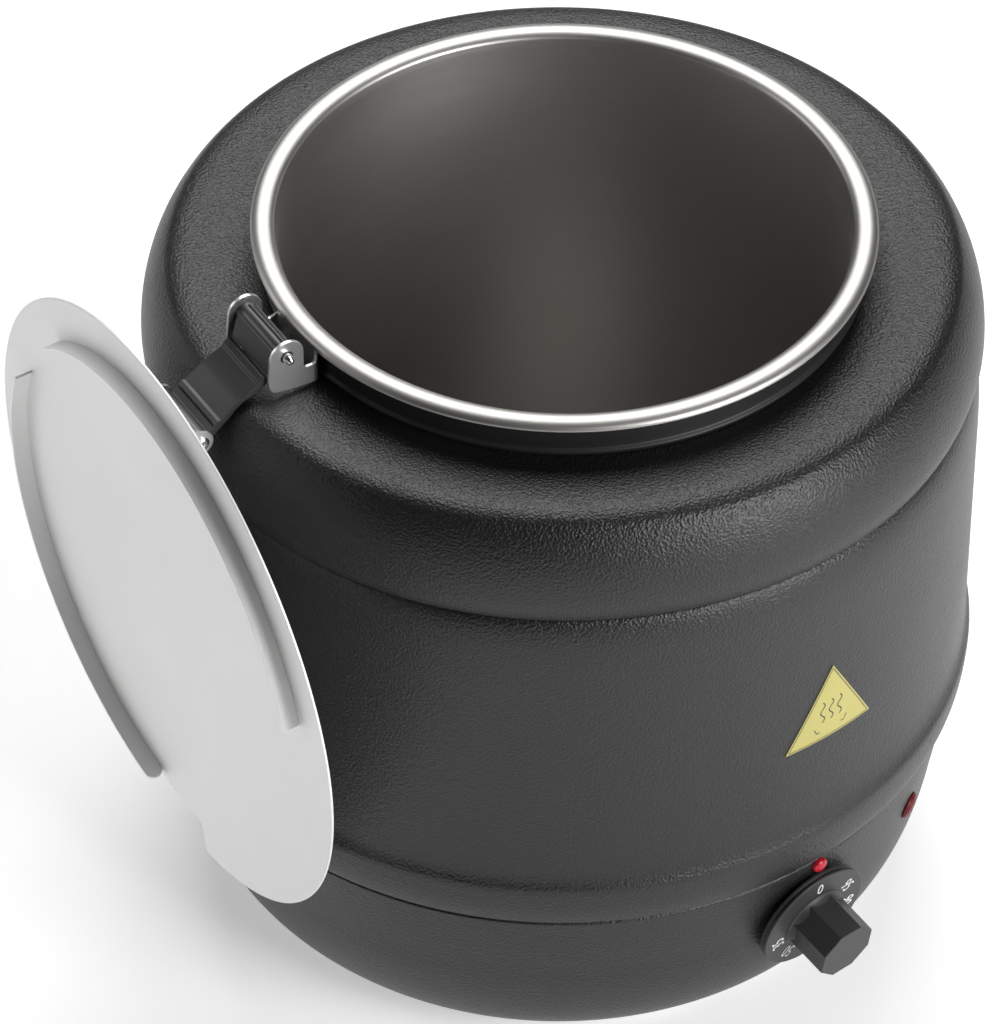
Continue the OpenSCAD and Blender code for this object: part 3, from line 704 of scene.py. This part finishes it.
def make_label():
    """The yellow triangle with its border, steam lines and dish."""
    height = LABEL_SIDE * math.sqrt(3) / 2
    rows, columns = 24, 24
    verts, faces = [], []
    for lift in (0.3, 0.02):
        for i in range(rows + 1):
            z = LABEL_FOOT_Z + height * i / rows
            half = LABEL_SIDE / 2 * (1 - i / rows) + 0.02
            for j in range(columns + 1):
                verts.append(on_body(half * (2 * j / columns - 1), z, lift))
    wide = columns + 1
    back = wide * (rows + 1)
    for i in range(rows):
        for j in range(columns):
            quad = (i * wide + j, i * wide + j + 1, (i + 1) * wide + j + 1, (i + 1) * wide + j)
            faces += [quad, tuple(back + k for k in reversed(quad))]
    rim = ([j for j in range(wide)] + [i * wide + columns for i in range(1, rows + 1)]
           + [rows * wide + j for j in range(columns - 1, -1, -1)]
           + [i * wide for i in range(rows - 1, 0, -1)])
    for a, b in zip(rim, rim[1:] + rim[:1]):
        faces.append((b, a, a + back, b + back))
    new_piece("label_triangle", verts, faces, "kettle", LABEL_FILM, node="caution_label")
    centre_z = LABEL_FOOT_Z + LABEL_SIDE / (2 * math.sqrt(3))
    corners = [(math.sin(math.radians(a)), math.cos(math.radians(a))) for a in (0, 120, 240)]
    reach = LABEL_SIDE / math.sqrt(3) - 1.6
    for k in range(3):
        p, q = corners[k], corners[(k + 1) % 3]
        line = []
        for t in range(17):
            x, y = (p[axis] + (q[axis] - p[axis]) * t / 16 for axis in (0, 1))
            line.append((x * reach, centre_z + y * reach))
        ribbon(f"label_border_{k + 1}", line, 0.35, INK_LIFT, LABEL_INK)
    for k, x in enumerate((-4.5, 0, 4.5)):
        wave = [(x + 1.1 * math.sin(2 * math.pi * t / 24 * 1.5), LABEL_FOOT_Z + 9.5 + 11 * t / 24)
                for t in range(25)]
        ribbon(f"label_steam_{k + 1}", wave, 0.55, INK_LIFT, LABEL_INK)
    dish = [(-8.5, LABEL_FOOT_Z + 7.2), (-7.2, LABEL_FOOT_Z + 4.6), (7.2, LABEL_FOOT_Z + 4.6),
            (8.5, LABEL_FOOT_Z + 7.2)]
    ribbon("label_dish", dish, 0.55, INK_LIFT, LABEL_INK)


# ---- Hinge ----

PLATE_IN = 124.2
SHEET_T = 1.4
EAR_S = 17.0
FOLD_R = 2.8
FLAT_HALF = EAR_S - SHEET_T / 2 - FOLD_R
EAR_START = FLAT_HALF + FOLD_R * math.pi / 2
EAR_RHO = PLATE_IN + SHEET_T / 2 + FOLD_R
EAR_R = 7.6
BARREL_R = 5


def fold(point):
    """Folds a point of the bracket's flat pattern into place."""
    along, height, out = point
    side = 1 if along >= 0 else -1
    along = abs(along)
    if along <= FLAT_HALF:
        rho, s = PLATE_IN + SHEET_T / 2 - out, along
    elif along <= EAR_START:
        a = (along - FLAT_HALF) / FOLD_R
        rho = EAR_RHO - (FOLD_R + out) * math.cos(a)
        s = FLAT_HALF + (FOLD_R + out) * math.sin(a)
    else:
        rho = EAR_RHO + along - EAR_START
        s = EAR_S - SHEET_T / 2 + out
    return (-rho, side * s, height)


def make_bracket():
    """The rim bracket, made as a flat pattern with its holes and then folded."""
    pin_at = EAR_START + (-RIM_PIN.x) - EAR_RHO
    h = RIM_Z
    ear_inner = pin_at - EAR_R
    half = ([(0, h - 3.4), (11.5, h - 3.4), (13.6, h - 3.9), (15.2, h - 5.6), (16.8, h - 7.6),
             (18.6, h - 8.5), (ear_inner - 1.6, h - 8.5)]
            + bend((ear_inner - 1.6, h - 8.5), (ear_inner, h - 8.5), (ear_inner, h - 6.9), 4)
            + arc((pin_at, RIM_PIN.z), EAR_R, EAR_R, 180, 0, 28)
            + [(pin_at + 8.5, h - 9.4)]
            + bend((pin_at + 8.5, h - 10.5), (pin_at + 8.4, h - 15.2), (pin_at + 4.2, h - 15.9), 8)
            + [(pin_at - 3.6, h - 17.2), (EAR_START, h - 17.7), (0, h - 17.7)])
    outline = clean(half[:-1] + [(-x, y) for x, y in half[::-1][1:-1]])
    holes = [circle((side * pin_at, RIM_PIN.z), 2.8, 40) for side in (-1, 1)]
    mesh = plate_mesh("bracket", outline, SHEET_T, 0.22, holes)
    work = bmesh.new()
    work.from_mesh(mesh)
    cuts = [FLAT_HALF + (EAR_START - FLAT_HALF) * i / 10 for i in range(11)]
    for along in [side * cut for cut in cuts for side in (-1, 1)]:
        everything = work.verts[:] + work.edges[:] + work.faces[:]
        bmesh.ops.bisect_plane(work, geom=everything, dist=1e-5, plane_co=(along, 0, 0),
                               plane_no=(1, 0, 0))
    for vert in work.verts:
        vert.co = Vector(fold(vert.co)) * MM
    work.to_mesh(mesh)
    work.free()
    level(finish_piece("rim_bracket", mesh, "pot", BRACKET_STEEL, "hinge_bracket", 30))


def make_arm():
    """The arm's block, bosses, ribbed blade and rim pin, drawn in the hinge's plane."""
    block = (arc((0, 0), BARREL_R, BARREL_R, 200, 136, 16)
             + [(2.4, 4.4), (5.2, 2.6), (10.4, -2.15), (11, -2.9), (11, -6), (3, -4.9)]
             + arc((0, 0), BARREL_R, BARREL_R, 275, 215, 12))
    place = ARM_PLACE
    plate("arm_block", rounded(block, 0.8), 27.6, 0.4, "arm", ARM_PLASTIC, place,
          "hinge_barrel", [circle((0, 0), 2.2, 32)])
    collar = [(2.24, -15.45), (4.4, -15.45), (4.4, 15.45), (2.24, 15.45)]
    lathe("arm_collar", rounded(collar, 0.3, 3), "arm", ARM_PLASTIC, place, segments=48)
    bush = [(2.24, -17), (2.74, -17), (2.74, 17), (2.24, 17)]
    lathe("arm_bush", rounded(bush, 0.12, 2), "arm", ARM_PLASTIC, place, segments=48)
    reach = ARM_REACH
    blade = ([(11.6, -6), (11.6, -3.2), (12.6, -2.2), (15.2, -1.8), (16.6, -2.7)]
             + bend((17.4, -2.6), (22, -1.5), (27.5, -1.2), 4)
             + [(36.2, -1.1), (37.2, 0), (39.2, 0), (40.2, -1.3), (reach - 4.6, -1.2)]
             + arc((reach, 0), BARREL_R, BARREL_R, 168, -90, 20)
             + [(reach - 4, -5), (33, -4.2), (29.5, -3.5), (25, -3.5), (19, -5.4)])
    plate("arm_blade", rounded(blade, 0.55), 28.6, 0.35, "arm", ARM_PLASTIC, place,
          "hinge_arm", [circle((reach, 0), 2.26, 32)])
    tip = [(0, -21), (0.8, -21), (1.5, -20.4), (2.15, -18.3), (2.2, -17.8), (2.2, 17.8), (2.15, 18.3),
           (1.5, 20.4), (0.8, 21), (0, 21)]
    lathe("rim_pin", tip, "arm", BRIGHT, place, "hinge_pin", 48)


# ---- Lid ----

STRIP_R = 114.5
STRIP_H = 7.5
STRIP_T = 1.2


def polar(radius, angle):
    """A point from its radius and its angle in degrees."""
    return (radius * math.cos(math.radians(angle)), radius * math.sin(math.radians(angle)))


def make_lid():
    """The lid's disc with its ladle notch, and the two strips under it."""
    notch_from, notch_to, notch_r = 172.0, 193.5, 117.0
    outline = (arc((0, 0), LID_R, LID_R, notch_to - 360, notch_from, 300)
               + [polar(notch_r, notch_from)]
               + arc((0, 0), notch_r, notch_r, notch_from + 1, notch_to - 1, 10)
               + [polar(notch_r, notch_to)])
    place = LID_PLACE @ Matrix.Translation((0, 0, LID_T / 2))
    plate("lid_disc", rounded(outline, 1.6, 5), LID_T, 0.35, "lid", LID_STEEL, place,
          "lid_plate")
    make_strip("strip_long", -171, -65, "locating_strip_long", True)
    make_strip("strip_short", -40, 77, "locating_strip_short", False)


def make_strip(name, start, end, node, full_round):
    """An upright curved strip on the lid's underside; a full-round end runs on past its start."""
    half = STRIP_H / 2
    profile = []
    if full_round:
        for i in range(1, 15):
            turn = math.radians(90 * i / 15)
            past_start = math.degrees(half * math.cos(turn) / STRIP_R)
            profile.append((start - past_start, half * math.sin(turn)))
    profile += [(start + (end - start) * i / 120, half) for i in range(121)]
    sections = []
    for angle, reach in profile:
        inner, outer = polar(STRIP_R - STRIP_T, angle), polar(STRIP_R, angle)
        top, low = reach - half, -reach - half
        sections.append([(*inner, top), (*outer, top), (*outer, low), (*inner, low)])
    verts, faces = strip_mesh(sections)
    # The strips wear the lid steel with painted light: paler and less metallic than the lid.
    piece = new_piece(name, verts, faces, "lid", STRIP_STEEL_PAINTED_BRIGHT, LID_PLACE, node)
    soften(piece, 0.25)


def make_lid_top():
    """The bracket, pin and knob on the lid's top face."""
    base = rounded([(-23, -17), (17, -17), (17, 17), (-23, 17)], 3, 6, 20)
    base_place = LID_PLACE @ Matrix.Translation((KNUCKLE_U, 0, LID_T + SHEET_T / 2))
    plate("lid_bracket_foot", base, SHEET_T, 0.25, "lid", BRACKET_STEEL, base_place,
          "lid_bracket")
    ear = (arc((0, KNUCKLE_H), 5.6, 5.6, 158, 22, 14)
           + [(15, LID_T + 0.2), (-20, LID_T + 0.2)])
    for side in (-1, 1):
        ear_place = (LID_PLACE @ Matrix.Translation((KNUCKLE_U, side * (EAR_S - SHEET_T / 2), 0))
                     @ Matrix.Rotation(math.pi / 2, 4, "X"))
        name = "lid_ear_near" if side < 0 else "lid_ear_far"
        plate(name, rounded(ear, 0.8), SHEET_T, 0.25, "lid", BRACKET_STEEL, ear_place,
              holes=[circle((0, KNUCKLE_H), 2.2, 32)])
    pin_place = (LID_PLACE @ Matrix.Translation((KNUCKLE_U, 0, KNUCKLE_H))
                 @ Matrix.Rotation(math.pi / 2, 4, "X"))
    rivet = [(0, -18.4), (2.4, -18.4), (3.4, -17.6), (3.4, -17.05), (2.2, -17.0), (2.2, 17.0),
             (3.4, 17.05), (3.4, 17.6), (2.4, 18.4), (0, 18.4)]
    lathe("lid_rivet", rounded(rivet, 0.2, 3), "lid", BRIGHT, pin_place, "lid_pin", 48)
    knob = ([(0, LID_T), (11, LID_T)] + bend((11, LID_T + 1), (10, LID_T + 7), (17, LID_T + 8.4), 12)
            + bend((18.6, LID_T + 9.6), (18.8, LID_T + 13.4), (12, LID_T + 13.4), 12)
            + [(6, LID_T + 13.4)] + bend((5, LID_T + 13.3), (4, LID_T + 12.4), (0, LID_T + 12.4), 6))
    lathe("lid_knob_turned", rounded(knob, 0.5, 3), "lid", BLACK_NYLON, LID_PLACE,
          "lid_knob", 96)


# ---- Underside and rear ----

FOOT_PCR = 118
GLAND_Z = 45


def make_feet():
    """Four rubber feet with a recess for their screws."""
    for i in range(4):
        a = math.radians(45 + 90 * i)
        place = Matrix.Rotation(a, 4, "Z") @ Matrix.Translation((FOOT_PCR, 0, 0))
        foot = ([(2.3, 3), (5, 3), (5, 0), (11.5, 0)] + bend((11.5, 0), (12.2, 0.2), (13, 5.4), 8)
                + [(2.3, 5.4)])
        lathe(f"rubber_foot_{i + 1}", rounded(foot, 0.5, 3), "kettle", RUBBER, place,
              f"foot_{i + 1}", 64)


def make_gland():
    """The cord gland at the rear: a hexagon and a ribbed sleeve, open right through."""
    place = wall_place(PANEL_A + math.pi, GLAND_Z)
    nut = [polar(22 / 2 / math.cos(math.pi / 6), 60 * i) for i in range(6)]
    plate("gland_hexagon", nut, 5, 0.6, "kettle", BLACK_NYLON,
          place @ Matrix.Translation((0, 0, 2.9)), "cord_gland", [circle((0, 0), 8, 40)])
    sleeve = [(3.8, -14), (8, -14), (8, 5.3)]
    for k in range(5):
        z = 5.4 + 2 * k
        r = 9.5 - 0.25 * (z - 5.3)
        sleeve += [(r, z), (r - 0.2, z + 1.3), (r - 1.0, z + 1.5), (r - 1.0, z + 1.9)]
    sleeve += [(6.6, 15.3), (3.8, 15.3)]
    lathe("gland_sleeve", rounded(sleeve, 0.2, 2), "kettle", BLACK_NYLON, place,
          segments=72)


make_shells()
make_pot()
make_dial()
make_figures()
make_lamp_and_dot()
make_label()
make_bracket()
make_arm()
make_lid()
make_lid_top()
make_feet()
make_gland()

# ---- Stage, camera and light ----

FLOOR_REACH = 8
FLOOR_DROP = 0.0005
LIGHT_TARGET = Vector((0, 0, 0.18))
DARK_SIDE = (-0.92, -0.36, 0.15)


def make_stage():
    """A white floor."""
    material, tree, surface = shader("floor", (0.9, 0.9, 0.9), 0.9, Emission_Color=(1, 1, 1, 1),
                                     Emission_Strength=0.36)
    clouds = noise(tree, place_of(tree), 3.0)
    tree.links.new(mix_node(tree, clouds, (0.89, 0.89, 0.89), (0.91, 0.91, 0.91)),
                   surface.inputs["Base Color"])
    mesh = bpy.data.meshes.new("floor")
    corners = [(x * FLOOR_REACH, y * FLOOR_REACH, 0) for x, y in ((-1, -1), (1, -1), (1, 1), (-1, 1))]
    mesh.from_pydata(corners, [], [(0, 1, 2, 3)])
    mesh.materials.append(material)
    floor = bpy.data.objects.new("floor", mesh)
    floor.location.z = -FLOOR_DROP
    bpy.context.scene.collection.objects.link(floor)


# The camera stands far off, as a long lens does, 43 degrees above the rim's plane
CAMERA_AZIMUTH = math.radians(-32.1)
CAMERA_ELEVATION = 0.749920686
CAMERA_ROLL = 0.00889425
CAMERA_DISTANCE = 19.0566956 * RIM_R
CAMERA_SIDE = -0.22432899 * RIM_R
CAMERA_RISE = -0.94191628 * RIM_R


def make_camera():
    """The long lens, aimed at the kettle from the front."""
    forward = Vector((0, math.cos(CAMERA_ELEVATION), -math.sin(CAMERA_ELEVATION)))
    right = Vector((1, 0, 0))
    up = right.cross(forward)
    right, up = (math.cos(CAMERA_ROLL) * right + math.sin(CAMERA_ROLL) * up,
                 math.cos(CAMERA_ROLL) * up - math.sin(CAMERA_ROLL) * right)
    stand = -forward * CAMERA_DISTANCE + right * CAMERA_SIDE + up * CAMERA_RISE
    turn = Matrix.Rotation(CAMERA_AZIMUTH, 4, "Z")
    axes = Matrix((right, up, -forward)).transposed().to_4x4()
    data = bpy.data.cameras.new("camera")
    data.lens = 210.94
    data.sensor_width = 36
    camera = bpy.data.objects.new("camera", data)
    bpy.context.scene.collection.objects.link(camera)
    lift = Matrix.Translation(Vector((0, 0, RIM_Z)) * MM)
    camera.matrix_world = lift @ turn @ Matrix.Translation(stand * MM) @ axes
    bpy.context.scene.camera = camera


def make_light(name, azimuth, elevation, distance, size, power):
    """A square soft box that faces the kettle."""
    data = bpy.data.lights.new(name, "AREA")
    data.size = size
    data.energy = power
    light = bpy.data.objects.new(name, data)
    a, e = math.radians(azimuth), math.radians(elevation)
    direction = Vector((math.cos(e) * math.cos(a), math.cos(e) * math.sin(a), math.sin(e)))
    light.location = direction * distance + LIGHT_TARGET
    light.rotation_euler = direction.to_track_quat("Z", "Y").to_euler()
    bpy.context.scene.collection.objects.link(light)


def make_world():
    """A pale studio, with one side of its horizon left dark so that the black paint shows depth."""
    world = bpy.data.worlds.new("studio")
    world.use_nodes = True
    tree = world.node_tree
    background = tree.nodes["Background"]
    direction = add(tree, "TexCoord").outputs["Generated"]
    across = add(tree, "VectorMath", {0: direction, 1: DARK_SIDE},
                 operation="DOT_PRODUCT").outputs["Value"]
    tree.links.new(ramp(tree, across, 0.76, 0.05, 0.75, 0.96), background.inputs["Strength"])
    bpy.context.scene.world = world


make_stage()
make_camera()
make_world()
make_light("key", -72, 24, 1.8, 0.9, 30)
make_light("top", 58, 56, 2.0, 1.5, 33)
make_light("side", 138, 24, 1.6, 0.8, 4)
bpy.context.scene.view_settings.view_transform = "Standard"
